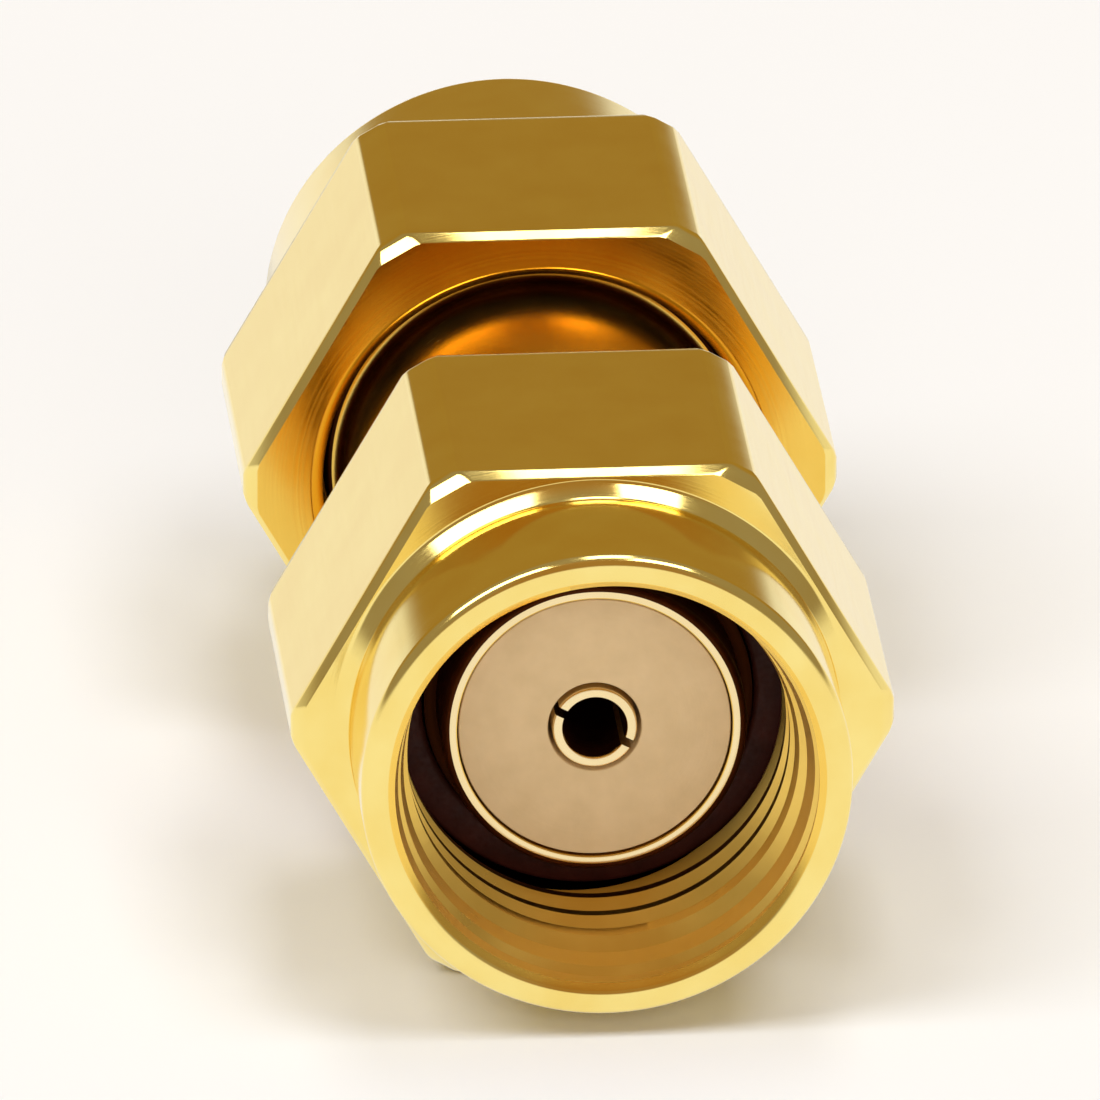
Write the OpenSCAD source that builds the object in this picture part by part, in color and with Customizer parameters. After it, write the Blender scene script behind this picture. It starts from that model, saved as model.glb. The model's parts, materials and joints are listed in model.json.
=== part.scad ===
// Straight coaxial adapter, plug to plug, lying on the flats of its two coupling nuts.
// Millimetres. The long axis is Y, with the front plug towards -Y. The origin is the middle
// of the adapter on its axis. Depths are measured from a nut's mouth, along the axis.

/* [Overall] */
// Length over the mouths of both nuts
total_length = 20.3; // [19.5:0.1:24]

/* [Coupling nut] */
// Width across the flats of the hex
nut_flats = 8; // [7.9:0.1:8.6]
// Diameter that the corners of the hex are turned down to
nut_corners = 9; // [8.8:0.05:9.2]
// Length of the nut
nut_length = 7.75; // [7.5:0.05:8.4]
// Length of the round nose in front of the hex
nose_length = 2.6; // [2:0.05:3]
// Diameter of the nose at the mouth
nose_d = 7.3; // [7.1:0.05:7.4]
// Diameter of the nose where it meets the hex
nose_root_d = 7.36; // [7.2:0.02:7.4]
// Cove between the nose and the hex
nose_cove = 0.25; // [0.1:0.05:0.25]
// Bevel round the outside of the mouth
lip_bevel = 0.17; // [0.05:0.01:0.22]
// Chamfer on the corners of the hex, at both of its ends
corner_chamfer = 0.25; // [0.1:0.05:0.3]
// Diameter of the countersink at the mouth
mouth_d = 6.56; // [6.4:0.02:6.6]
// Minor diameter of the 1/4-36 thread
thread_minor_d = 5.72; // [5.6:0.02:5.8]
// Depth at which the thread ends
thread_end = 3.4; // [3:0.1:3.6]
// Diameter of the plain bore behind the thread
nut_bore_d = 6.6; // [6.4:0.05:6.7]
// Countersink at the rear of the plain bore
rear_countersink = 0.3; // [0.1:0.05:0.35]

/* [Snap ring] */
// Width of the ring along the axis
ring_width = 0.5; // [0.4:0.05:0.6]
// Radial thickness of the ring
ring_section = 0.55; // [0.45:0.05:0.6]
// Opening between the ends of the ring
ring_gap = 0.9; // [0.5:0.1:1.5]
// Depth of the nut's groove in its bore wall
nut_groove = 0.26; // [0.2:0.02:0.3]
// Room under the ring, so that it can be squeezed into the nut
ring_room = 0.25; // [0.2:0.01:0.3]
// Free travel of nut and ring along the body, each way
nut_play = 0.15; // [0.05:0.05:0.2]

/* [Body] */
// Diameter of the neck between the nuts
neck_d = 5.9; // [5.6:0.05:6.1]
// Land in front of the ring groove
land_lip = 0.95; // [0.6:0.05:1]
// Land behind the ring groove
land_tail = 0.88; // [0.5:0.02:0.9]
// Edge break on the land
land_edge = 0.1; // [0.05:0.05:0.2]
// Depth of the ferrule's end face
face_depth = 2.4; // [2:0.1:2.6]
// Outside diameter of the ferrule
ferrule_d = 4.55; // [4.4:0.05:4.6]
// Wall of the ferrule
ferrule_wall = 0.225; // [0.2:0.025:0.3]
// Bevel on the outside of the ferrule's end
ferrule_bevel = 0.11; // [0.05:0.01:0.13]
// Step in radius at the foot of the ferrule, under the gasket
foot_step = 0.175; // [0.16:0.005:0.2]
// Width of the inner rib that parts the two insulators
rib_width = 1; // [0.6:0.1:2]
// Bore through the inner rib
rib_bore_d = 2.6; // [2.4:0.1:3]

/* [Gasket] */
// Thickness of the gasket
gasket_thickness = 0.6; // [0.4:0.05:0.7]
// Width of the gasket's band
gasket_width = 0.52; // [0.4:0.02:0.56]
// Room between the gasket and the end of the thread
gasket_room = 0.15; // [0.1:0.05:0.3]

/* [Insulator and contact] */
// Depth of the insulator's face below the ferrule's end
insulator_recess = 0.05; // [0:0.05:0.2]
// Outside diameter of the contact
contact_d = 1.27; // [1.2:0.01:1.3]
// Bore of the sockets in the contact
socket_d = 0.93; // [0.9:0.01:0.96]
// Depth of the sockets
socket_depth = 2.6; // [2.4:0.1:4]
// Edge break at the ends of the contact, inside and outside
contact_edge = 0.055; // [0.03:0.005:0.07]
// Width of the slot across each socket
slot_width = 0.2; // [0.1:0.02:0.24]
// Depth of the slot
slot_depth = 2.3; // [1:0.1:2.3]
// Turn of the slot from level
slot_angle = -27; // [-90:1:90]
// Diameter of the collar in the middle of the contact
collar_d = 2; // [1.6:0.1:2.2]

/* [Fits] */
// Radial clearance of the land in the nut's bore
land_fit = 0.08; // [0.05:0.01:0.1]
// Radial clearance of the ring in the nut's groove
ring_fit = 0.06; // [0.03:0.01:0.08]
// Side clearance of the ring in the nut's groove
ring_side = 0.03; // [0.02:0.01:0.05]
// Clearance left between ring and body groove at the end of the travel
travel_clear = 0.02; // [0.01:0.01:0.05]
// Radial clearance of the gasket on the foot of the ferrule
gasket_fit = 0.03; // [0.02:0.01:0.06]
// Radial clearance of the insulator in the ferrule
insulator_fit = 0.02; // [0.01:0.01:0.04]
// Radial clearance of the contact in the insulator
contact_fit = 0.01; // [0.01:0.01:0.03]
// Radial gap round the slotted ends, so that they can open
tine_gap = 0.1; // [0.06:0.02:0.16]
// End clearance of the contact's collar between the insulators
collar_fit = 0.05; // [0.02:0.01:0.08]

/* [Hidden] */
$fn = 96;

front = -1;
rear = 1;
plated_gold = [0.83, 0.66, 0.28];
contact_gold = [0.91, 0.78, 0.46];
spring_bronze = [0.72, 0.52, 0.27];
beige_insulator = [0.8, 0.7, 0.56];
dark_silicone = [0.16, 0.04, 0.03];

// How far a cut runs past the face that it opens into
overrun = 0.5;

// Angle between the points of the cove's arc
cove_step = 18;

// Stations along the axis, counted outwards from the middle of the adapter
mouth = total_length / 2;
nut_rear = mouth - nut_length;
hex_front = mouth - nose_length;
thread_stop = mouth - thread_end;
face = mouth - face_depth;
land_front = thread_stop - nut_play - gasket_room - gasket_thickness;
body_groove_front = land_front - land_lip;
body_groove_width = ring_width + 2 * (nut_play + travel_clear);
body_groove_rear = body_groove_front - body_groove_width;
land_rear = body_groove_rear - land_tail;
ring_middle = (body_groove_front + body_groove_rear) / 2;
nut_groove_width = ring_width + 2 * ring_side;
rib_half = rib_width / 2;
insulator_face = face - insulator_recess;

// Radii
corner_r = nut_corners / 2;
nose_r = nose_d / 2;
nose_root_r = nose_root_d / 2;
mouth_r = mouth_d / 2;
thread_r = thread_minor_d / 2;
bore_r = nut_bore_d / 2;
nut_groove_r = bore_r + nut_groove;
ring_outer_r = nut_groove_r - ring_fit;
ring_inner_r = ring_outer_r - ring_section;
body_groove_r = ring_inner_r - ring_room;
land_r = bore_r - land_fit;
neck_r = neck_d / 2;
ferrule_r = ferrule_d / 2;
ferrule_bore_r = ferrule_r - ferrule_wall;
foot_r = ferrule_r + foot_step;
gasket_inner_r = foot_r + gasket_fit;
gasket_outer_r = gasket_inner_r + gasket_width;
insulator_r = ferrule_bore_r - insulator_fit;
contact_r = contact_d / 2;
socket_r = socket_d / 2;

// Mirrors a half outline to the other end of the adapter, so that it closes the loop
function mirrored(half) = [for (i = [len(half) - 1 : -1 : 0]) [half[i][0], -half[i][1]]];

// Solid of revolution about the local Z axis, from points of radius and station
module turned(outline) {
    rotate_extrude() polygon(outline);
}

// Lays a piece that was turned about Z along Y, with its outer end towards one plug
module on_axis(end) {
    rotate([-90 * end, 0, 0]) children();
}

// Outside of the nut where it is turned: nose, shoulder and chamfered corners
module nut_outside() {
    cove = [for (turn = [270 : -cove_step : 180])
        [nose_root_r + nose_cove * (1 + cos(turn)), hex_front + nose_cove * (1 + sin(turn))]];
    turned(concat(
        [
            [0, nut_rear],
            [corner_r - corner_chamfer, nut_rear],
            [corner_r, nut_rear + corner_chamfer],
            [corner_r, hex_front - corner_chamfer],
            [corner_r - corner_chamfer, hex_front]
        ],
        cove,
        [
            [nose_r, mouth - lip_bevel],
            [nose_r - lip_bevel, mouth],
            [0, mouth]
        ]
    ));
}

// Space inside the nut: countersunk mouth, thread, plain bore, ring groove, countersunk rear
module nut_inside() {
    groove_front = ring_middle + nut_groove_width / 2;
    groove_rear = ring_middle - nut_groove_width / 2;
    turned([
        [0, mouth + overrun],
        [mouth_r + overrun, mouth + overrun],
        [thread_r, mouth - (mouth_r - thread_r)],
        [thread_r, thread_stop],
        [bore_r, thread_stop],
        [bore_r, groove_front],
        [nut_groove_r, groove_front],
        [nut_groove_r, groove_rear],
        [bore_r, groove_rear],
        [bore_r, nut_rear + rear_countersink],
        [bore_r + rear_countersink + overrun, nut_rear - overrun],
        [0, nut_rear - overrun]
    ]);
}

module nut(end) {
    color(plated_gold)
        on_axis(end)
            difference() {
                intersection() {
                    translate([0, 0, nut_rear])
                        cylinder(d = nut_flats / cos(30), h = nut_length, $fn = 6);
                    nut_outside();
                }
                nut_inside();
            }
}

// One turned piece from ferrule to ferrule, with a land for each nut and a rib in its bore
module body() {
    half = [
        [neck_r, land_rear],
        [land_r - land_edge, land_rear],
        [land_r, land_rear + land_edge],
        [land_r, body_groove_rear],
        [body_groove_r, body_groove_rear],
        [body_groove_r, body_groove_front],
        [land_r, body_groove_front],
        [land_r, land_front - land_edge],
        [land_r - land_edge, land_front],
        [foot_r, land_front],
        [foot_r, land_front + gasket_thickness + gasket_fit],
        [ferrule_r, land_front + gasket_thickness + gasket_fit],
        [ferrule_r, face - ferrule_bevel],
        [ferrule_r - ferrule_bevel, face],
        [ferrule_bore_r, face],
        [ferrule_bore_r, rib_half],
        [rib_bore_d / 2, rib_half]
    ];
    color(plated_gold)
        on_axis(rear)
            turned(concat(half, mirrored(half)));
}

module insulator(end) {
    hole_r = contact_r + contact_fit;
    tine_room_r = contact_r + tine_gap;
    tine_room_start = face - slot_depth - tine_gap;
    color(beige_insulator)
        on_axis(end)
            turned([
                [hole_r, rib_half],
                [insulator_r, rib_half],
                [insulator_r, insulator_face],
                [tine_room_r, insulator_face],
                [tine_room_r, tine_room_start],
                [hole_r, tine_room_start]
            ]);
}

module centre_contact() {
    collar_half = rib_half - collar_fit;
    half = [
        [collar_d / 2, collar_half],
        [contact_r, collar_half],
        [contact_r, face - contact_edge],
        [contact_r - contact_edge, face],
        [socket_r + contact_edge, face],
        [socket_r, face - contact_edge],
        [socket_r, face - socket_depth],
        [0, face - socket_depth]
    ];
    color(contact_gold)
        difference() {
            on_axis(rear) turned(concat(half, mirrored(half)));
            for (end = [front, rear])
                on_axis(end)
                    rotate([0, 0, slot_angle])
                        translate([-contact_d, -slot_width / 2, face - slot_depth])
                            cube([2 * contact_d, slot_width, slot_depth + overrun]);
        }
}

module gasket(end) {
    color(dark_silicone)
        on_axis(end)
            turned([
                [gasket_inner_r, land_front],
                [gasket_outer_r, land_front],
                [gasket_outer_r, land_front + gasket_thickness],
                [gasket_inner_r, land_front + gasket_thickness]
            ]);
}

// The ring hangs with its opening at the top
module snap_ring(end) {
    color(spring_bronze)
        on_axis(end)
            translate([0, 0, ring_middle - ring_width / 2])
                difference() {
                    cylinder(r = ring_outer_r, h = ring_width);
                    translate([0, 0, -overrun])
                        cylinder(r = ring_inner_r, h = ring_width + 2 * overrun);
                    rotate([0, 0, -90 * end])
                        translate([0, -ring_gap / 2, -overrun])
                            cube([ring_outer_r + overrun, ring_gap, ring_width + 2 * overrun]);
                }
}

body();
insulator(front);  // front_insulator
insulator(rear);  // rear_insulator
centre_contact();
gasket(front);  // front_gasket
gasket(rear);  // rear_gasket
snap_ring(front);  // front_snap_ring
snap_ring(rear);  // rear_snap_ring
nut(front);  // front_nut
nut(rear);  // rear_nut
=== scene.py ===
import json
import math

import bmesh
import bpy
from mathutils import Matrix, Vector


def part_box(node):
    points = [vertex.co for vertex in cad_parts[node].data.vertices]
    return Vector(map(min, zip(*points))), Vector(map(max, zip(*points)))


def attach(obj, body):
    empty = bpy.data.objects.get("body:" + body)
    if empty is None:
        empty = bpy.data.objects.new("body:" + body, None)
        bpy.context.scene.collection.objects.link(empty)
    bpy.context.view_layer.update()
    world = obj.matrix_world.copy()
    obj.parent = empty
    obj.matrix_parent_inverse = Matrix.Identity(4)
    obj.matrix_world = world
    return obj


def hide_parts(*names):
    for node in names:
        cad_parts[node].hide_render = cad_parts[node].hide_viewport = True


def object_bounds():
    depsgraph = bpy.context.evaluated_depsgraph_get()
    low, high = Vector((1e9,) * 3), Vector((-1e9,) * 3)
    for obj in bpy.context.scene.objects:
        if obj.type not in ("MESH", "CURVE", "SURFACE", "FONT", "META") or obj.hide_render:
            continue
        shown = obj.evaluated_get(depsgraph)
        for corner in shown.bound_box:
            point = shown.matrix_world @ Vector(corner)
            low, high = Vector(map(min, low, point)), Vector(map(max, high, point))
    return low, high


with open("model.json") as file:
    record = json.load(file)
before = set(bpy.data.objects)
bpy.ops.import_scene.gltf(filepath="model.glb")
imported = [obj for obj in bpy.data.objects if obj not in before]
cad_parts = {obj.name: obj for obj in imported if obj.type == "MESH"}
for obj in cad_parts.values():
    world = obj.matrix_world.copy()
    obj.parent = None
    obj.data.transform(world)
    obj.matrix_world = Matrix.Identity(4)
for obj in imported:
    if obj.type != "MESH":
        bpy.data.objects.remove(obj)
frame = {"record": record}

cad_low, cad_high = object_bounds()

# Pieces are shaped in millimetres, as in the drawing, and brought to metres when they are done.
MM = 0.001
TURN = 2 * math.pi


# Driving dimensions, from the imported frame. Stations are counted outwards from the middle.
def box_mm(node):
    low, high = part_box(node)
    return low / MM, high / MM


mounts = {mount["name"]: mount for mount in frame["record"]["mounts"]}
nut_low, nut_high = box_mm("front_nut")
body_low, body_high = box_mm("body")
bead_low, bead_high = box_mm("front_insulator")
collar_r = box_mm("centre_contact")[1].x
gasket_low, gasket_high = box_mm("front_gasket")
ring_low, ring_high = box_mm("front_snap_ring")


def wall_span(mount):
    """Inner and outer station of a mount's wall."""
    middle = abs(mounts[mount]["pos_m"][1]) / MM
    half = mounts[mount]["dims"]["length_mm"] / 2
    return middle - half, middle + half


mouth = -nut_low.y
nut_rear = -nut_high.y
half_flats = nut_high.z
corner_r = nut_high.x
thread_r = mounts["front_thread"]["dims"]["r_mm"]
thread_stop, thread_start = wall_span("front_thread")
mouth_r = thread_r + mouth - thread_start
ferrule_r = mounts["front_ferrule"]["dims"]["r_mm"]
ferrule_foot, ferrule_edge = wall_span("front_ferrule")
socket_r = mounts["front_socket"]["dims"]["r_mm"]
socket_bottom = wall_span("front_socket")[0]
land_r = body_high.x
face = -body_low.y
rib_half = -bead_high.y
bead_face = -bead_low.y
bead_r = bead_high.x
gasket_r = gasket_high.x
gasket_back, gasket_front = -gasket_high.y, -gasket_low.y
ring_r = ring_high.x
ring_back, ring_front = -ring_high.y, -ring_low.y

# Nut
NOSE_LENGTH = 2.6
NOSE_R = 3.65
NOSE_COVE = 0.2
NOSE_COVE_EDGE = 0.035
COVE_MARGIN = 1.2 * NOSE_COVE_EDGE
LIP_ROUND = 0.17
MOUTH_EDGE = 0.06
REAR_EDGE = 0.03
REAR_RIM = 2 * REAR_EDGE
CORNER_EDGE = 0.06
NUT_BORE_R = 3.3
REAR_COUNTERSINK = 0.15
RING_FIT = 0.06
RING_SIDE = 0.03
hex_front = mouth - NOSE_LENGTH
nut_groove_r = ring_r + RING_FIT

# Between a corner and the middle of the next flat lie 30 degrees
HEX_COS, HEX_SIN = math.cos(math.radians(30)), math.sin(math.radians(30))

# Broken edges of the hex, from its end face inwards: depth, drop of the flats and of the corners
HEX_EDGE = [
    (0, 0.1, 0.2),
    (0.012, 0.088, 0.188),
    (0.03, 0.076, 0.17),
    (0.145, 0.012, 0.06),
    (0.17, 0.003, 0.042),
    (0.2, 0, 0.024),
    (0.25, 0, 0.007),
    (0.29, 0, 0),
]

# Thread, 36 turns to the inch, with its crests at the bore that the frame gives
THREAD_PITCH = 25.4 / 36
CREST_FLAT = THREAD_PITCH / 4
ROOT_FLAT = THREAD_PITCH / 8
FLANK_SLOPE = math.tan(math.radians(30))
THREAD_RUN_IN = 0.12
THREAD_OVERRUN = 0.5

# Lead-in from the mouth to the full thread: a short countersink, then a long taper
COUNTERSINK_TILT = math.radians(36)
LEAD_IN_R = 3.15
LEAD_IN_DEPTH = 1.5
lead_in = mouth - (mouth_r - LEAD_IN_R) * math.tan(COUNTERSINK_TILT)
full_thread = mouth - LEAD_IN_DEPTH

# Body
NECK_R = 2.95
NECK_FILLET = 0.15
LAND_LIP = 0.95
LAND_TAIL = 0.88
LAND_EDGE = 0.1
GROOVE_FLOOR_R = 2.7
GROOVE_PLAY = 0.17
FOOT_R = 2.45
FERRULE_BORE_R = 2.05
FERRULE_INNER_EDGE = 0.02
RIB_BORE_R = 1.3
groove_front = ring_front + GROOVE_PLAY
groove_back = ring_back - GROOVE_PLAY
land_front = groove_front + LAND_LIP
land_rear = groove_back - LAND_TAIL

# Insulator and contact
HOLE_R = 0.645
TINE_ROOM_R = 0.695
TINE_ROOM_START = 5.35
BEAD_EDGE = 0.03
CONTACT_R = 0.635
CONTACT_ROUND = 0.05
COLLAR_HALF = 0.45
SLOT_WIDTH = 0.13
SLOT_BOTTOM = 5.45
SLOT_OVERRUN = 1
SLOT_REACH = 4 * CONTACT_R
SLOT_TURN = math.radians(-27)

# Gasket and snap ring
GASKET_HOLE_R = 2.48
GASKET_EDGE = 0.08
RING_INNER_R = 2.95
RING_GAP = 0.9
RING_EDGE = 0.05

# A plug's own shape stands at the front as drawn, and at the rear with its stations turned round
PLUG_ENDS = (1, -1)

# Points nearer than this, in mm, are one
SEAM = 1e-4

# Edges that turn by more than this stay sharp
SHARP = math.radians(30)
NUT_SHARP = math.radians(32)
GASKET_SHARP = math.radians(40)

# How finely round shapes are turned
NUT_STEPS = 180
BODY_STEPS = 144
SMALL_STEPS = 96
THREAD_STEPS = 90


def start_clean():
    if bpy.context.object and bpy.context.object.mode != "OBJECT":
        bpy.ops.object.mode_set(mode="OBJECT")
    bpy.ops.object.select_all(action="DESELECT")


def work_on(piece):
    start_clean()
    piece.select_set(True)
    bpy.context.view_layer.objects.active = piece


def edit(piece):
    work_on(piece)
    bpy.ops.object.mode_set(mode="EDIT")
    bpy.ops.mesh.select_mode(type="VERT")
    bpy.ops.mesh.select_all(action="DESELECT")


def leave_edit():
    bpy.ops.object.mode_set(mode="OBJECT")


def outline(name, points, closed=True):
    """A wire of radius and station points, in the plane through the axis."""
    start_clean()
    bpy.ops.mesh.primitive_circle_add(vertices=len(points), radius=1, fill_type="NOTHING")
    wire = bpy.context.object
    wire.name = wire.data.name = name
    for vert, (radius, station) in zip(wire.data.vertices, points):
        vert.co = (radius, -station, 0)
    if not closed:
        edit(wire)
        bpy.ops.mesh.select_mode(type="EDGE")
        shape = bmesh.from_edit_mesh(wire.data)
        for edge in shape.edges:
            edge.select_set({v.index for v in edge.verts} == {0, len(points) - 1})
        bmesh.update_edit_mesh(wire.data)
        bpy.ops.mesh.delete(type="EDGE")
        leave_edit()
    return wire


def round_corners(wire, corners, width, steps):
    """Rounds the wire's corners that lie at the given points."""
    edit(wire)
    leave_edit()
    for radius, station in corners:
        corner = Vector((radius, -station, 0))
        near = min(wire.data.vertices, key=lambda vert: (vert.co - corner).length)
        near.select = True
    bpy.ops.object.mode_set(mode="EDIT")
    bpy.ops.mesh.bevel(offset=width, segments=steps, profile=0.5, affect="VERTICES")
    leave_edit()


def close_up(piece):
    """Merges the seam, closes what is open and points the faces outwards."""
    edit(piece)
    bpy.ops.mesh.select_all(action="SELECT")
    bpy.ops.mesh.remove_doubles(threshold=SEAM)
    bpy.ops.mesh.fill_holes(sides=0)
    bpy.ops.mesh.normals_make_consistent(inside=False)
    leave_edit()


def turn(wire, steps, first_angle=0.0, sweep=TURN):
    """Spins the wire about the long axis into a turned piece."""
    edit(wire)
    bpy.ops.mesh.select_all(action="SELECT")
    if first_angle:
        bpy.ops.transform.rotate(value=first_angle, orient_axis="Y", center_override=(0, 0, 0))
    bpy.ops.mesh.spin(steps=steps, angle=sweep, center=(0, 0, 0), axis=(0, 1, 0))
    bpy.ops.mesh.select_all(action="SELECT")
    bpy.ops.mesh.remove_doubles(threshold=SEAM)
    leave_edit()
    return wire


def cut_away(piece, tool):
    work_on(piece)
    cut = piece.modifiers.new("cut", "BOOLEAN")
    cut.operation = "DIFFERENCE"
    cut.solver = "EXACT"
    cut.object = tool
    bpy.ops.object.modifier_apply(modifier=cut.name)
    bpy.data.objects.remove(tool)


def finish_surface(piece, sharp):
    """Brings a piece to metres and shades it, with its broad faces kept true."""
    work_on(piece)
    bpy.ops.transform.resize(value=(MM, MM, MM), center_override=(0, 0, 0))
    bpy.ops.object.transform_apply(location=True, rotation=True, scale=True)
    bpy.ops.object.shade_smooth_by_angle(angle=sharp)
    true = piece.modifiers.new("true faces", "WEIGHTED_NORMAL")
    true.mode = "FACE_AREA"
    true.weight = 100
    true.keep_sharp = True
    bpy.ops.object.modifier_apply(modifier=true.name)


def other_end(piece, name):
    """The same piece for the rear plug, turned end for end with its top kept up."""
    work_on(piece)
    bpy.ops.object.duplicate()
    copy = bpy.context.object
    copy.name = copy.data.name = name
    copy.rotation_euler = (0, 0, math.pi)
    bpy.ops.object.transform_apply(location=True, rotation=True, scale=True)
    return copy


def mirrored(half):
    return half + [(radius, -station) for radius, station in reversed(half)]


def make_nut(name):
    """A hex sleeve outside and one turned wall from shoulder to rear, joined at both ends."""
    groove_half = (ring_front - ring_back) / 2 + RING_SIDE
    groove_middle = (ring_front + ring_back) / 2
    rear_opening_r = NUT_BORE_R + REAR_COUNTERSINK
    wall = outline(name, [
        (NOSE_R + NOSE_COVE + COVE_MARGIN, hex_front),
        (NOSE_R + NOSE_COVE, hex_front),
        (NOSE_R, hex_front + NOSE_COVE),
        (NOSE_R, mouth),
        (mouth_r, mouth),
        (LEAD_IN_R, lead_in),
        (thread_r, full_thread),
        (thread_r, thread_stop),
        (NUT_BORE_R, thread_stop),
        (NUT_BORE_R, groove_middle + groove_half),
        (nut_groove_r, groove_middle + groove_half),
        (nut_groove_r, groove_middle - groove_half),
        (NUT_BORE_R, groove_middle - groove_half),
        (NUT_BORE_R, nut_rear + REAR_COUNTERSINK),
        (rear_opening_r, nut_rear),
        (rear_opening_r + REAR_RIM, nut_rear),
    ], closed=False)
    cove_ends = [(NOSE_R + NOSE_COVE, hex_front), (NOSE_R, hex_front + NOSE_COVE)]
    round_corners(wall, cove_ends, NOSE_COVE_EDGE, steps=4)
    round_corners(wall, [(NOSE_R, mouth)], LIP_ROUND, steps=6)
    round_corners(wall, [(mouth_r, mouth)], MOUTH_EDGE, steps=4)
    round_corners(wall, [(rear_opening_r, nut_rear)], REAR_EDGE, steps=2)
    nut = turn(wall, NUT_STEPS)
    sleeve = make_hex_sleeve()
    work_on(nut)
    sleeve.select_set(True)
    bpy.ops.object.join()
    for station in (hex_front, nut_rear):
        fill_between_rims(nut, station)
    close_up(nut)
    cut_away(nut, make_thread_tool())
    finish_surface(nut, NUT_SHARP)
    return nut


def hex_ring(across, corner):
    """Points of a hex with flattened corners, from its half widths, in turning order."""
    half = (across - corner * HEX_COS) / HEX_SIN
    points = []
    for side in range(6):
        angle = math.radians(60 * side)
        out = Vector((math.cos(angle), math.sin(angle)))
        along = Vector((-out.y, out.x))
        for end in (-1, 1):
            ridge = out * corner + along * half * end
            onto_flat = along * end * HEX_COS - out * HEX_SIN
            pair = [ridge - along * end * CORNER_EDGE, ridge + onto_flat * CORNER_EDGE]
            points += pair if end > 0 else reversed(pair)
    return sorted(points, key=lambda point: math.atan2(point.y, point.x))


def make_hex_sleeve():
    """Rings from shoulder to rear, with the edges at both ends broken and softened."""
    edge = [
        (depth, half_flats - flat_drop, corner_r - corner_drop)
        for depth, flat_drop, corner_drop in HEX_EDGE]
    rings = [(hex_front - depth, across, corner) for depth, across, corner in edge]
    rings += [(nut_rear + depth, across, corner) for depth, across, corner in reversed(edge)]
    first = hex_ring(*rings[0][1:])
    start_clean()
    bpy.ops.mesh.primitive_circle_add(vertices=len(first), radius=1, fill_type="NOTHING")
    sleeve = bpy.context.object
    for vert, point in zip(sleeve.data.vertices, first):
        vert.co = (point.x, -rings[0][0], point.y)
    edit(sleeve)
    bpy.ops.mesh.select_mode(type="EDGE")
    bpy.ops.mesh.select_all(action="SELECT")
    for (last, _, _), (station, across, corner) in zip(rings, rings[1:]):
        bpy.ops.mesh.extrude_edges_move(TRANSFORM_OT_translate={"value": (0, last - station, 0)})
        shape = bmesh.from_edit_mesh(sleeve.data)
        drawn_out = (vert for vert in shape.verts if vert.select)
        ring = sorted(drawn_out, key=lambda vert: math.atan2(vert.co.z, vert.co.x))
        for vert, point in zip(ring, hex_ring(across, corner)):
            vert.co.x, vert.co.z = point
        bmesh.update_edit_mesh(sleeve.data)
    leave_edit()
    return sleeve


def fill_between_rims(piece, station):
    """Joins the two open rims at a station with a flat face."""
    edit(piece)
    bpy.ops.mesh.select_mode(type="EDGE")
    shape = bmesh.from_edit_mesh(piece.data)
    for edge in shape.edges:
        level = abs((edge.verts[0].co.y + edge.verts[1].co.y) / 2 + station) < SEAM
        edge.select_set(level and len(edge.link_faces) == 1)
    bmesh.update_edit_mesh(piece.data)
    bpy.ops.mesh.fill(use_beauty=True)
    leave_edit()


def make_thread_tool():
    """The space that the thread takes from the bore: a V swept along its helix."""
    wide = (THREAD_PITCH - CREST_FLAT) / 2
    inside = THREAD_RUN_IN
    deep = (wide - ROOT_FLAT / 2) / FLANK_SLOPE
    wide_inside = wide + inside * FLANK_SLOPE
    first = mouth + THREAD_OVERRUN
    tool = outline("thread_tool", [
        (thread_r - inside, first - wide_inside),
        (thread_r + deep, first - ROOT_FLAT / 2),
        (thread_r + deep, first + ROOT_FLAT / 2),
        (thread_r - inside, first + wide_inside),
    ])
    helix = tool.modifiers.new("helix", "SCREW")
    helix.axis = "Y"
    helix.angle = TURN
    helix.screw_offset = THREAD_PITCH
    helix.iterations = math.ceil((first - thread_stop) / THREAD_PITCH) + 1
    helix.steps = helix.render_steps = THREAD_STEPS
    work_on(tool)
    bpy.ops.object.modifier_apply(modifier=helix.name)
    close_up(tool)
    return tool


def make_body(name):
    """One turned tube: neck, a land with its groove at each end, and the ferrules."""
    half = [
        (NECK_R, land_rear),
        (land_r, land_rear),
        (land_r, groove_back),
        (GROOVE_FLOOR_R, groove_back),
        (GROOVE_FLOOR_R, groove_front),
        (land_r, groove_front),
        (land_r, land_front),
        (FOOT_R, land_front),
        (FOOT_R, ferrule_foot),
        (ferrule_r, ferrule_foot),
        (ferrule_r, face),
        (FERRULE_BORE_R, face),
        (FERRULE_BORE_R, rib_half),
        (RIB_BORE_R, rib_half),
    ]
    wire = outline(name, mirrored(half))
    for radius, station, width, steps in (
            (NECK_R, land_rear, NECK_FILLET, 4),
            (land_r, land_rear, LAND_EDGE, 3),
            (land_r, land_front, LAND_EDGE, 3),
            (ferrule_r, face, face - ferrule_edge, 4),
            (FERRULE_BORE_R, face, FERRULE_INNER_EDGE, 2)):
        round_corners(wire, [(radius, end * station) for end in PLUG_ENDS], width, steps)
    body = turn(wire, BODY_STEPS)
    close_up(body)
    finish_surface(body, SHARP)
    return body


def make_bead(name):
    """An insulator with a wider hole at its face, where the socket's tines spring."""
    wire = outline(name, [
        (HOLE_R, rib_half),
        (bead_r, rib_half),
        (bead_r, bead_face),
        (TINE_ROOM_R, bead_face),
        (TINE_ROOM_R, TINE_ROOM_START),
        (HOLE_R, TINE_ROOM_START),
    ])
    round_corners(wire, [(bead_r, bead_face), (TINE_ROOM_R, bead_face)], BEAD_EDGE, steps=3)
    bead = turn(wire, BODY_STEPS)
    close_up(bead)
    finish_surface(bead, SHARP)
    return bead


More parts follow.
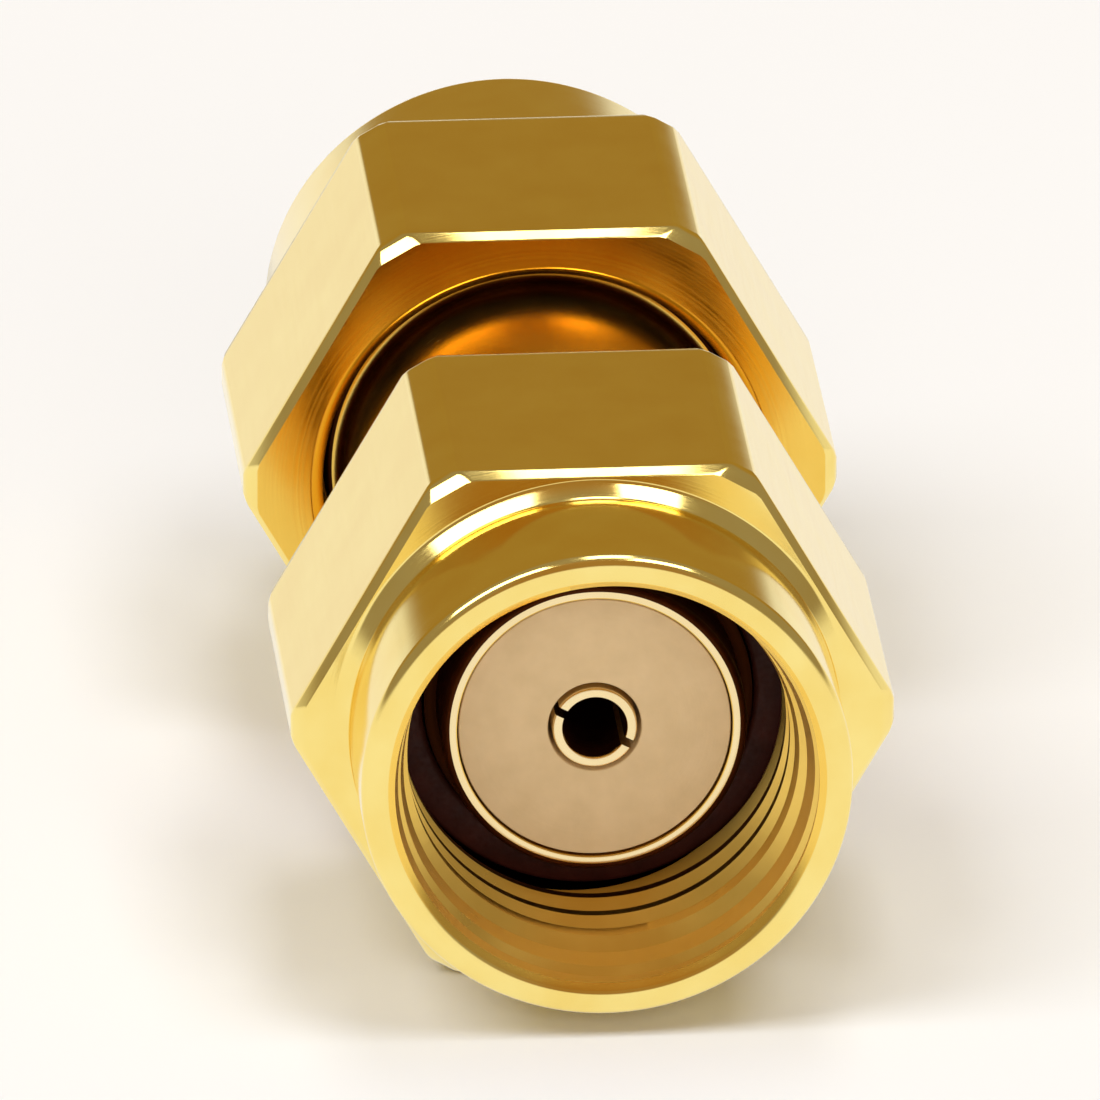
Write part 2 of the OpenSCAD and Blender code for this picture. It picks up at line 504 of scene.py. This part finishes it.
def make_contact(name):
    """A pin with a collar in its middle and a slotted socket in each end."""
    half = [
        (collar_r, COLLAR_HALF),
        (CONTACT_R, COLLAR_HALF),
        (CONTACT_R, face),
        (socket_r, face),
        (socket_r, socket_bottom),
        (0, socket_bottom),
    ]
    wire = outline(name, mirrored(half))
    rims = [(radius, end * face) for end in PLUG_ENDS for radius in (CONTACT_R, socket_r)]
    round_corners(wire, rims, CONTACT_ROUND, steps=3)
    contact = turn(wire, SMALL_STEPS)
    close_up(contact)
    for end in PLUG_ENDS:
        cut_away(contact, make_slot_tool(end))
    finish_surface(contact, SHARP)
    return contact


def make_slot_tool(end):
    """A saw cut across one socket."""
    start_clean()
    length = face - SLOT_BOTTOM + SLOT_OVERRUN
    bpy.ops.mesh.primitive_cube_add(
        size=1, location=(0, -end * (SLOT_BOTTOM + length / 2), 0),
        rotation=(0, -end * SLOT_TURN, 0), scale=(SLOT_REACH, length, SLOT_WIDTH))
    tool = bpy.context.object
    bpy.ops.object.transform_apply(location=True, rotation=True, scale=True)
    return tool


def make_gasket(name):
    """A flat ring with soft edges."""
    corners = [
        (GASKET_HOLE_R, gasket_back),
        (gasket_r, gasket_back),
        (gasket_r, gasket_front),
        (GASKET_HOLE_R, gasket_front),
    ]
    wire = outline(name, corners)
    round_corners(wire, corners, GASKET_EDGE, steps=3)
    gasket = turn(wire, SMALL_STEPS)
    close_up(gasket)
    finish_surface(gasket, GASKET_SHARP)
    return gasket


def make_snap_ring(name):
    """A flat ring with its gap at the top."""
    corners = [
        (RING_INNER_R, ring_back),
        (ring_r, ring_back),
        (ring_r, ring_front),
        (RING_INNER_R, ring_front),
    ]
    wire = outline(name, corners)
    round_corners(wire, corners, RING_EDGE, steps=2)
    gap_half = math.asin(RING_GAP / 2 / ring_r)
    ring = turn(
        wire, SMALL_STEPS, first_angle=math.pi / 2 + gap_half, sweep=TURN - 2 * gap_half)
    close_up(ring)
    finish_surface(ring, SHARP)
    return ring


front_nut = make_nut("front_coupling_nut")
rear_nut = other_end(front_nut, "rear_coupling_nut")
body = make_body("adapter_body")
front_bead = make_bead("front_insulator_bead")
rear_bead = other_end(front_bead, "rear_insulator_bead")
contact = make_contact("centre_contact_pin")
front_gasket = make_gasket("front_face_gasket")
rear_gasket = other_end(front_gasket, "rear_face_gasket")
front_ring = make_snap_ring("front_retaining_ring")
rear_ring = other_end(front_ring, "rear_retaining_ring")

# Camera, where the photograph was taken from
CAMERA_AZIMUTH = math.radians(-4.5)
CAMERA_ELEVATION = math.radians(21.3)
CAMERA_DISTANCE = 0.55
PHOTO_PIXELS = 1100
PIXELS_PER_MM = 66.5
ORIGIN_PIXEL = (554, 539)
SENSOR_MM = 36

towards_camera = Vector((
    math.sin(CAMERA_AZIMUTH) * math.cos(CAMERA_ELEVATION),
    -math.cos(CAMERA_AZIMUTH) * math.cos(CAMERA_ELEVATION),
    math.sin(CAMERA_ELEVATION)))
camera = bpy.data.objects.new("photo_camera", bpy.data.cameras.new("photo_camera"))
bpy.context.scene.collection.objects.link(camera)
bpy.context.scene.camera = camera
camera.rotation_euler = (-towards_camera).to_track_quat("-Z", "Y").to_euler()
picture_right = Vector((math.cos(CAMERA_AZIMUTH), math.sin(CAMERA_AZIMUTH), 0))
picture_up = towards_camera.cross(picture_right)
middle = PHOTO_PIXELS / 2
aim = MM / PIXELS_PER_MM * (
    picture_right * (middle - ORIGIN_PIXEL[0]) + picture_up * (ORIGIN_PIXEL[1] - middle))
camera.location = aim + towards_camera * CAMERA_DISTANCE
camera.data.sensor_width = SENSOR_MM
camera.data.lens = PIXELS_PER_MM / MM * CAMERA_DISTANCE * SENSOR_MM / PHOTO_PIXELS
camera.data.clip_start = 0.01
camera.data.clip_end = 20


# Materials
RINGS_ACROSS = 0.8
RINGS_ALONG = 1.3
GRAIN_SHARE = 0.6


def node(tree, kind, links=None, **values):
    """Adds a node. Values go to its inputs, with spaces for underscores, or to its own settings."""
    made = tree.nodes.new(kind)
    for key, value in values.items():
        label = key.replace("_", " ")
        if label in made.inputs:
            made.inputs[label].default_value = value
        else:
            setattr(made, key, value)
    for label, source in (links or {}).items():
        tree.links.new(source, made.inputs[label])
    return made


def math_node(tree, operation, *terms):
    made = tree.nodes.new("ShaderNodeMath")
    made.operation = operation
    for place, term in enumerate(terms):
        if isinstance(term, (int, float)):
            made.inputs[place].default_value = term
        else:
            tree.links.new(term, made.inputs[place])
    return made.outputs[0]


def new_group(name, inputs, outputs):
    tree = bpy.data.node_groups.new(name, "ShaderNodeTree")
    for label, value in inputs.items():
        socket = tree.interface.new_socket(label, in_out="INPUT", socket_type="NodeSocketFloat")
        socket.default_value = value
    for label in outputs:
        tree.interface.new_socket(label, in_out="OUTPUT", socket_type="NodeSocketFloat")
    return tree, tree.nodes.new("NodeGroupInput"), tree.nodes.new("NodeGroupOutput")


def make_mottle_group():
    """Soft clouds and a fine grain, as on a plated surface."""
    tree, given, out = new_group(
        "plating_mottle", {"Cloud Scale": 900.0, "Grain Scale": 9000.0}, ["Cloud", "Grain"])
    place = node(tree, "ShaderNodeTexCoord").outputs["Object"]
    for label, detail in (("Cloud", 3.0), ("Grain", 2.0)):
        scale = given.outputs[label + " Scale"]
        noise = node(tree, "ShaderNodeTexNoise", {"Vector": place, "Scale": scale}, Detail=detail)
        tree.links.new(noise.outputs["Fac"], out.inputs[label])
    return tree


def make_lathe_group():
    """Rings that the lathe tool leaves, along the axis and across the end faces."""
    tree, given, out = new_group("lathe_marks", {"Rings": 20000.0}, ["Ring"])
    place = node(tree, "ShaderNodeTexCoord").outputs["Object"]
    parts = node(tree, "ShaderNodeSeparateXYZ", {"Vector": place}).outputs
    square = math_node(tree, "ADD", math_node(tree, "MULTIPLY", parts["X"], parts["X"]),
                       math_node(tree, "MULTIPLY", parts["Z"], parts["Z"]))
    radius = math_node(tree, "SQRT", square)
    along = math_node(tree, "ADD", math_node(tree, "MULTIPLY", radius, RINGS_ACROSS),
                      math_node(tree, "MULTIPLY", parts["Y"], RINGS_ALONG))
    place_1d = math_node(tree, "MULTIPLY", along, given.outputs["Rings"])
    ring = node(
        tree, "ShaderNodeTexNoise", {"W": place_1d}, noise_dimensions="1D", Scale=1.0, Detail=2.0)
    tree.links.new(ring.outputs["Fac"], out.inputs["Ring"])
    return tree


def make_drawn_group():
    """Faint lines along the bar that the nut was cut from."""
    tree, given, out = new_group("drawn_lines", {"Lines": 12000.0, "Length": 700.0}, ["Line"])
    place = node(tree, "ShaderNodeTexCoord").outputs["Object"]
    parts = node(tree, "ShaderNodeSeparateXYZ", {"Vector": place}).outputs
    stretched = node(tree, "ShaderNodeCombineXYZ", {
        "X": math_node(tree, "MULTIPLY", parts["X"], given.outputs["Lines"]),
        "Y": math_node(tree, "MULTIPLY", parts["Y"], given.outputs["Length"]),
        "Z": math_node(tree, "MULTIPLY", parts["Z"], given.outputs["Lines"])})
    line = node(tree, "ShaderNodeTexNoise", {"Vector": stretched.outputs[0]}, Scale=1.0, Detail=2.0)
    tree.links.new(line.outputs["Fac"], out.inputs["Line"])
    return tree


mottle_group = make_mottle_group()
lathe_group = make_lathe_group()
drawn_group = make_drawn_group()


def place_group(tree, group, **values):
    made = tree.nodes.new("ShaderNodeGroup")
    made.node_tree = group
    for key, value in values.items():
        made.inputs[key.replace("_", " ")].default_value = value
    return made.outputs


def spread(tree, value, low, high, start=0.3, stop=0.7):
    """Maps a value, such as the middle of a noise, to a range."""
    made = node(tree, "ShaderNodeMapRange", {"Value": value})
    ends = {"From Min": start, "From Max": stop, "To Min": low, "To Max": high}
    for label, number in ends.items():
        made.inputs[label].default_value = number
    return made.outputs[0]


def tone(tree, mask, dark, light):
    made = node(tree, "ShaderNodeMix", {"Factor": mask}, data_type="RGBA")
    colours = [socket for socket in made.inputs if socket.type == "RGBA"]
    for socket, colour in zip(colours, (dark, light)):
        if isinstance(colour, tuple):
            socket.default_value = (*colour, 1)
        else:
            tree.links.new(colour, socket)
    return next(socket for socket in made.outputs if socket.type == "RGBA")


def new_material(name):
    material = bpy.data.materials.new(name)
    material.use_nodes = True
    tree = material.node_tree
    return material, tree, tree.nodes["Principled BSDF"]


def gold_finish(name, dark, light, rough, marks, mark_height):
    """Plated gold: tone and gloss drift in clouds, over the tool's own marks."""
    material, tree, skin = new_material(name)
    mottle = place_group(tree, mottle_group)
    colour = tone(tree, spread(tree, mottle["Cloud"], 0, 1), dark, light)
    tree.links.new(colour, skin.inputs["Base Color"])
    skin.inputs["Metallic"].default_value = 1
    mark = marks(tree)
    rough_low, rough_high = rough
    gloss = math_node(tree, "ADD", spread(tree, mottle["Cloud"], rough_low, rough_high),
                      spread(tree, mark, 0, rough_high - rough_low))
    tree.links.new(gloss, skin.inputs["Roughness"])
    grain = math_node(tree, "MULTIPLY", mottle["Grain"], GRAIN_SHARE)
    height = math_node(tree, "ADD", mark, grain)
    bump = node(tree, "ShaderNodeBump", {"Height": height}, Strength=1.0, Distance=mark_height)
    tree.links.new(bump.outputs[0], skin.inputs["Normal"])
    return material


def lathe(rings):
    return lambda tree: place_group(tree, lathe_group, Rings=rings)["Ring"]


def drawn(lines):
    return lambda tree: place_group(tree, drawn_group, Lines=lines)["Line"]


nut_flat_gold = gold_finish(
    "nut_flat_gold", dark=(0.91, 0.68, 0.19), light=(0.95, 0.74, 0.23), rough=(0.15, 0.18),
    marks=drawn(12000), mark_height=2.5e-7)
nut_turned_gold = gold_finish(
    "nut_turned_gold", dark=(0.93, 0.7, 0.2), light=(0.97, 0.78, 0.27), rough=(0.07, 0.11),
    marks=lathe(24000), mark_height=3e-7)
# A more orange copy of the nut's gold: painted shade and painted reflection of the gold parts
# around these faces
turned_end_gold_shaded = gold_finish(
    "turned_end_gold_shaded", dark=(0.93, 0.59, 0.1), light=(0.97, 0.65, 0.13), rough=(0.12, 0.18),
    marks=lathe(24000), mark_height=3e-7)
# Darker and more orange than the nut's gold: painted shade on the neck between the nuts
body_gold = gold_finish(
    "body_gold", dark=(0.8, 0.51, 0.1), light=(0.87, 0.58, 0.13), rough=(0.16, 0.22),
    marks=lathe(20000), mark_height=5e-7)
# Darker and more orange than the nut's turned gold: painted shade for the thread inside the mouth
thread_gold_shaded = gold_finish(
    "thread_gold_shaded", dark=(0.81, 0.53, 0.11), light=(0.88, 0.6, 0.14), rough=(0.26, 0.32),
    marks=lathe(16000), mark_height=5e-7)
contact_gold = gold_finish(
    "contact_gold", dark=(0.9, 0.71, 0.37), light=(0.95, 0.77, 0.43), rough=(0.12, 0.18),
    marks=lathe(40000), mark_height=3e-7)
ring_bronze = gold_finish(
    "ring_bronze", dark=(0.45, 0.25, 0.09), light=(0.56, 0.33, 0.13), rough=(0.25, 0.35),
    marks=lathe(15000), mark_height=6e-7)
# Inside, past the thread, down the sockets and on the body under the nuts, the gold is painted near
# black and dull: painted shade in these deep bores
bore_painted_shade = gold_finish(
    "bore_painted_shade", dark=(0.07, 0.02, 0.006), light=(0.12, 0.036, 0.011), rough=(0.45, 0.6),
    marks=lathe(9000), mark_height=1e-6)


def moulded_finish(name, dark, light, rough, ring_height, rings):
    """A matt plastic or rubber with a faint cloudiness and fine tool rings."""
    material, tree, skin = new_material(name)
    mottle = place_group(tree, mottle_group, Cloud_Scale=2200.0, Grain_Scale=14000.0)
    colour = tone(tree, spread(tree, mottle["Cloud"], 0, 1), dark, light)
    tree.links.new(colour, skin.inputs["Base Color"])
    tree.links.new(spread(tree, mottle["Grain"], *rough), skin.inputs["Roughness"])
    ring = place_group(tree, lathe_group, Rings=rings)["Ring"]
    height = math_node(tree, "ADD", ring, mottle["Grain"])
    bump = node(tree, "ShaderNodeBump", {"Height": height}, Strength=1.0, Distance=ring_height)
    tree.links.new(bump.outputs[0], skin.inputs["Normal"])
    return material


insulator_beige = moulded_finish(
    "insulator_beige", dark=(0.76, 0.58, 0.32), light=(0.83, 0.64, 0.37), rough=(0.45, 0.6),
    ring_height=2e-6, rings=16000.0)
# A real gasket, painted near-black red as dark as the shade in the gap between ferrule and nut:
# partly painted shade
gasket_silicone = moulded_finish(
    "gasket_silicone", dark=(0.045, 0.008, 0.004), light=(0.08, 0.015, 0.008), rough=(0.5, 0.7),
    ring_height=3e-6, rings=6000.0)


def dress(piece, ride_on, stands_for, slot, *materials):
    piece.data.materials.clear()
    for material in materials:
        piece.data.materials.append(material)
    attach(piece, ride_on)
    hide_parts(stands_for)


# How near to a surface, in mm, a face counts as part of it
ON_SURFACE = 0.005
NEAR = 0.01
RIM_DEPTH = 0.002
FERRULE_MARGIN = 0.05
# How little the normal of a flat leans along the axis
UPRIGHT = 0.01


def paint_where(piece, material, wanted):
    """Gives another material to the faces that a test of radius, station and face picks."""
    piece.data.materials.append(material)
    for patch in piece.data.polygons:
        radius = math.hypot(patch.center.x, patch.center.z) / MM
        station = abs(patch.center.y) / MM
        if wanted(radius, station, patch):
            patch.material_index = len(piece.data.materials) - 1


def is_flat(radius, station, patch):
    in_flat = abs(patch.center.dot(patch.normal) / MM - half_flats) < ON_SURFACE
    return abs(patch.normal.y) < UPRIGHT and in_flat


def is_thread(radius, station, patch):
    return radius < LEAD_IN_R + THREAD_PITCH / 4 and thread_stop + NEAR < station < lead_in


def is_turned_end(radius, station, patch):
    """The rear face, and the countersinks there and in the mouth."""
    on_rear_face = station < nut_rear + ON_SURFACE
    cone_end = nut_rear + REAR_COUNTERSINK
    in_rear_cone = radius < NUT_BORE_R + REAR_COUNTERSINK and station < cone_end
    in_mouth_cone = radius < mouth_r - MOUTH_EDGE / 2 and station > lead_in
    return on_rear_face or in_rear_cone or in_mouth_cone


def is_inner_bore(radius, station, patch):
    past_cone = nut_rear + REAR_COUNTERSINK < station
    return radius < nut_groove_r + NEAR and past_cone and station < thread_stop + NEAR


def is_socket_wall(radius, station, patch):
    return radius < socket_r + NEAR and station < face - CONTACT_ROUND


def is_covered_by_nut(radius, station, patch):
    return land_rear < station < face - RIM_DEPTH and radius > FERRULE_BORE_R + FERRULE_MARGIN


def is_ferrule_rim(radius, station, patch):
    return station > face - RIM_DEPTH


dress(front_nut, "front_nut", "front_nut", "nut_gold", nut_turned_gold)
dress(rear_nut, "rear_nut", "rear_nut", "nut_gold", nut_turned_gold)
for nut in (front_nut, rear_nut):
    paint_where(nut, nut_flat_gold, is_flat)
    # The thread takes the darker gold: painted shade in the mouth
    paint_where(nut, thread_gold_shaded, is_thread)
    # End faces and countersinks take the more orange gold: painted shade and reflection
    paint_where(nut, turned_end_gold_shaded, is_turned_end)
    # The nut's bore past the thread is painted near black: painted shade
    paint_where(nut, bore_painted_shade, is_inner_bore)
# The body wears the darker gold: painted shade between the nuts
dress(body, "body", "body", "body_gold", body_gold)
# The body under the nuts is painted near black: painted shade
paint_where(body, bore_painted_shade, is_covered_by_nut)
# The ferrule's rim is painted in the paler contact gold: a painted highlight on the body's own gold
paint_where(body, contact_gold, is_ferrule_rim)
dress(front_bead, "body", "front_insulator", "insulator_beige", insulator_beige)
dress(rear_bead, "body", "rear_insulator", "insulator_beige", insulator_beige)
dress(contact, "body", "centre_contact", "contact_gold", contact_gold)
# The sockets' walls are painted near black: painted shade
paint_where(contact, bore_painted_shade, is_socket_wall)
# The gaskets carry the near-black red: painted shade in the gap
dress(front_gasket, "body", "front_gasket", "gasket_silicone", gasket_silicone)
dress(rear_gasket, "body", "rear_gasket", "gasket_silicone", gasket_silicone)
dress(front_ring, "front_ring", "front_snap_ring", "ring_bronze", ring_bronze)
dress(rear_ring, "rear_ring", "rear_snap_ring", "ring_bronze", ring_bronze)

# Floor. Metal mirrors it as the white background, with only part of the shadow.
FLOOR_SIZE = 4.0
FLOOR_PALE = (0.89, 0.92, 0.97, 1)
MIRRORED_WHITE = 0.7
start_clean()
bpy.ops.mesh.primitive_plane_add(size=FLOOR_SIZE, location=(0, 0, cad_low.z))
floor = bpy.context.object
floor.name = floor.data.name = "pale_floor"
floor_paint, floor_tree, floor_skin = new_material("pale_floor")
floor_skin.inputs["Base Color"].default_value = FLOOR_PALE
floor_skin.inputs["Roughness"].default_value = 0.9
floor_skin.inputs["Specular IOR Level"].default_value = 0.1
rays = node(floor_tree, "ShaderNodeLightPath").outputs
white = node(floor_tree, "ShaderNodeEmission", Color=(1, 1, 1, 1), Strength=1.0)
floor_mix = node(floor_tree, "ShaderNodeMixShader")
no_bounce = math_node(floor_tree, "LESS_THAN", rays["Diffuse Depth"], 0.5)
mirrored_ray = math_node(floor_tree, "MULTIPLY", rays["Is Glossy Ray"], no_bounce)
in_mirror = math_node(floor_tree, "MULTIPLY", mirrored_ray, MIRRORED_WHITE)
mixed = (in_mirror, floor_skin.outputs[0], white.outputs[0])
for given, socket in zip(mixed, floor_mix.inputs):
    floor_tree.links.new(given, socket)
floor_surface = floor_tree.nodes["Material Output"].inputs["Surface"]
floor_tree.links.new(floor_mix.outputs[0], floor_surface)
floor.data.materials.append(floor_paint)

# World: a grey room, pale at the horizon, with a warm wall behind the object and a dim one in
# front. The pairs say between which parts of a direction each one starts or ends.
ROOM_GREY = (0.33, 0.28, 0.21)
ROOM_PALE = (0.9, 0.89, 0.87)
WALL_BROWN = (0.36, 0.235, 0.058)
FRONT_DIM = (0.37, 0.22, 0.085)
HORIZON = (0.03, 0.12)
WALL_TOP = (0.6, 0.8)
WALL_START = (0.3, 0.6)
FRONT_END = (-0.45, -0.25)
FRONT_SIDE = (0.25, 0.5)
world = bpy.data.worlds.new("studio_room")
bpy.context.scene.world = world
world.use_nodes = True
room = world.node_tree
sky = room.nodes["Background"]
direction = node(room, "ShaderNodeTexCoord").outputs["Generated"]
parts = node(room, "ShaderNodeSeparateXYZ", {"Vector": direction}).outputs
above = spread(room, parts["Z"], 0, 1, *HORIZON)
wall_height = math_node(room, "MULTIPLY", above, spread(room, parts["Z"], 1, 0, *WALL_TOP))
behind = math_node(room, "MULTIPLY", wall_height, spread(room, parts["Y"], 0, 1, *WALL_START))
sideways = math_node(room, "ABSOLUTE", parts["X"])
facing = math_node(room, "MULTIPLY", spread(room, parts["Y"], 1, 0, *FRONT_END),
                   spread(room, sideways, 1, 0, *FRONT_SIDE))
in_front = math_node(room, "MULTIPLY", above, facing)
room_tone = tone(room, above, ROOM_PALE, ROOM_GREY)
room_tone = tone(room, behind, room_tone, WALL_BROWN)
room_tone = tone(room, in_front, room_tone, FRONT_DIM)
room.links.new(room_tone, sky.inputs["Color"])


# Lamps: soft boxes above the object, with their depth laid along its axis
LAMP_DISTANCE = 1.2


def soft_box(name, towards, width, depth, brightness):
    lamp = bpy.data.lights.new(name, "AREA")
    lamp.shape = "RECTANGLE"
    lamp.size, lamp.size_y = width, depth
    lamp.energy = brightness * math.pi * width * depth
    holder = bpy.data.objects.new(name, lamp)
    bpy.context.scene.collection.objects.link(holder)
    out = Vector(towards).normalized()
    holder.location = out * LAMP_DISTANCE
    across = Vector((0, 1, 0)).cross(out).normalized()
    holder.rotation_euler = Matrix((across, out.cross(across), out)).transposed().to_euler()
    holder.visible_camera = False
    return holder


soft_box("left_soft_box", (-0.52, -0.27, 0.81), width=0.72, depth=0.56, brightness=4.6)
soft_box("right_soft_box", (0.36, -0.27, 0.89), width=0.38, depth=0.56, brightness=5.2)
soft_box("top_soft_box", (0.08, 0.16, 0.98), width=0.3, depth=0.8, brightness=4.0)
# The fill lights the matt insulator, and metal does not mirror it
front_fill = soft_box("front_fill", (0.05, -0.9, 0.35), width=0.9, depth=0.5, brightness=2.6)
front_fill.visible_glossy = False

bpy.context.scene.view_settings.view_transform = "Standard"
